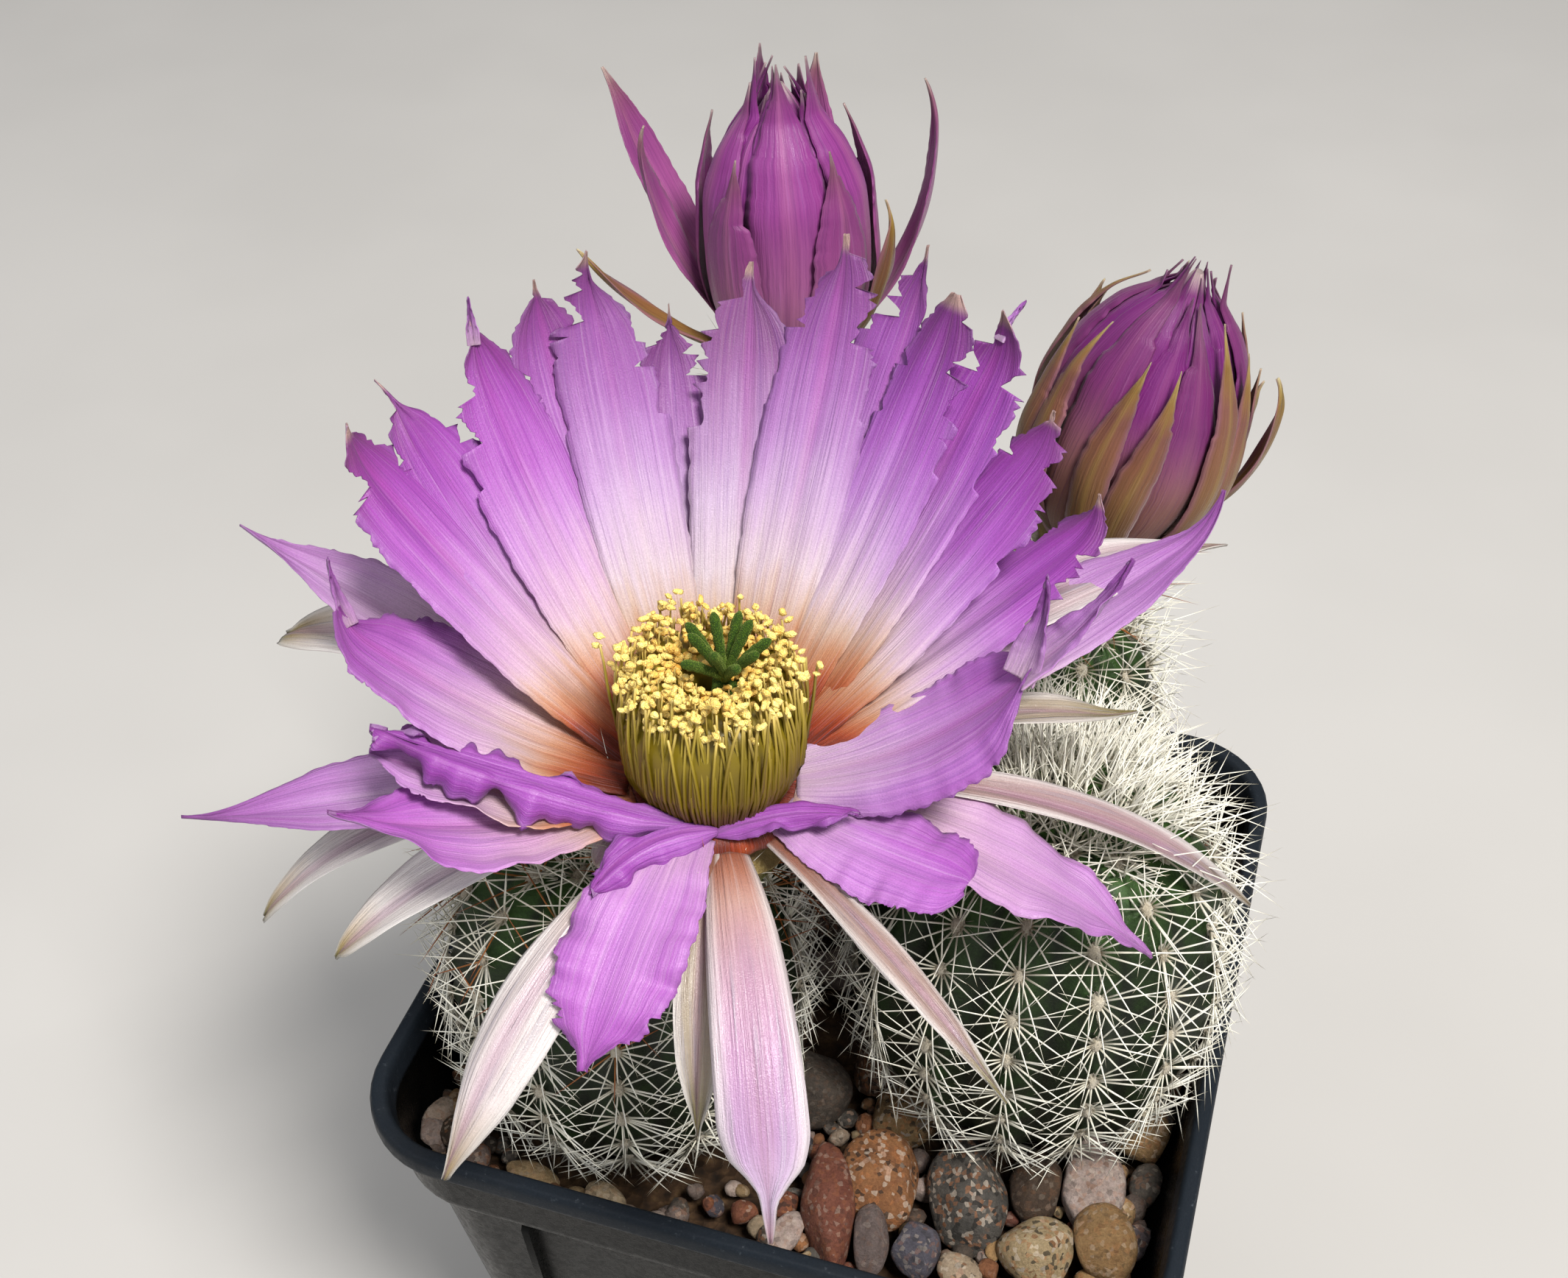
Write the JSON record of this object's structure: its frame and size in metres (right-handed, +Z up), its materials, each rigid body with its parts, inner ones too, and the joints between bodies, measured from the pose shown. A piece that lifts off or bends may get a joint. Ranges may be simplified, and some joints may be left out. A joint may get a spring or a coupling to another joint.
{
  "type": "hedgehog cactus in a square pot",
  "caption": "White-spined hedgehog cactus clump in a square nursery pot with gravel, an open magenta flower and unopened flowers above.",
  "frame": {"origin": "centre of the pot's flat base, where it stands", "axes": "+Z up out of the pot, +X along the pot's front edge to the right, -Y towards the front of the open flower"},
  "size_m": [0.0803, 0.0904, 0.1372],
  "materials": {
    "pot": "charcoal black moulded plastic, worn to blue-grey on the lip",
    "soil": "dark gritty potting soil",
    "gravel": "mixed brown, pink and grey river gravel",
    "stem": "green ribs with woolly areoles and white spines",
    "flower_tube": "olive green, woolly and bristled",
    "petals": "satin magenta with a pale throat and an orange base",
    "stamens": "olive filaments and pale yellow anthers",
    "pistil": "velvety deep green",
    "bud": "purple with olive outer tepals"
  },
  "bodies": {
    "root": {"pot": "pot", "soil": "soil", "gravel": "gravel", "stem_front": "stem", "stem_right": "stem", "stem_back_right": "stem", "stem_back_left": "stem", "open_flower_tube": "flower_tube", "open_flower_petals": "petals", "open_flower_stamens": "stamens", "open_flower_pistil": "pistil", "top_bud_tube": "flower_tube", "top_bud_petals": "bud", "right_bud_tube": "flower_tube", "right_bud_petals": "bud"}
  },
  "joints": []
}
